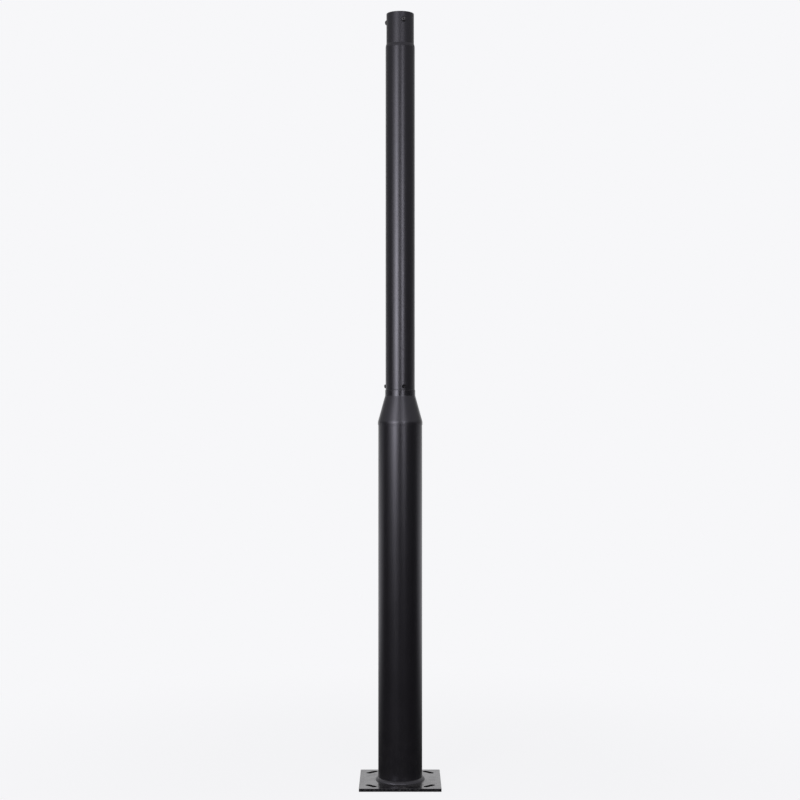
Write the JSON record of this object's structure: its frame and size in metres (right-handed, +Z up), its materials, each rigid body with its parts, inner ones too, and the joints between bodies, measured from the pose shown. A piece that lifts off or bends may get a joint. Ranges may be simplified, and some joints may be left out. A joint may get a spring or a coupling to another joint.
{
  "type": "street light pole",
  "caption": "Black two-stage steel pole on a slotted base plate, with a conical reducer and a lamp socket at the top.",
  "frame": {"origin": "centre of the base plate's underside", "axes": "+Z up the pole, X and Y along the base plate's sides, the first screw of each ring near the -Y side"},
  "size_m": [0.21, 0.21, 1.9997],
  "materials": {
    "black_paint": "semi-gloss powder coat",
    "dark_screw_steel": "dark oxide",
    "bare_steel": "dull zinc"
  },
  "bodies": {
    "root": {"base_plate": "black_paint", "base_weld": "black_paint", "lower_tube": "black_paint", "reducer": "black_paint", "spigot": "bare_steel", "upper_tube": "black_paint", "socket_weld": "black_paint", "lamp_socket": "black_paint", "joint_screw_1": "dark_screw_steel", "joint_screw_2": "dark_screw_steel", "joint_screw_3": "dark_screw_steel", "lamp_screw_1": "dark_screw_steel", "lamp_screw_2": "dark_screw_steel", "lamp_screw_3": "dark_screw_steel"}
  },
  "joints": []
}
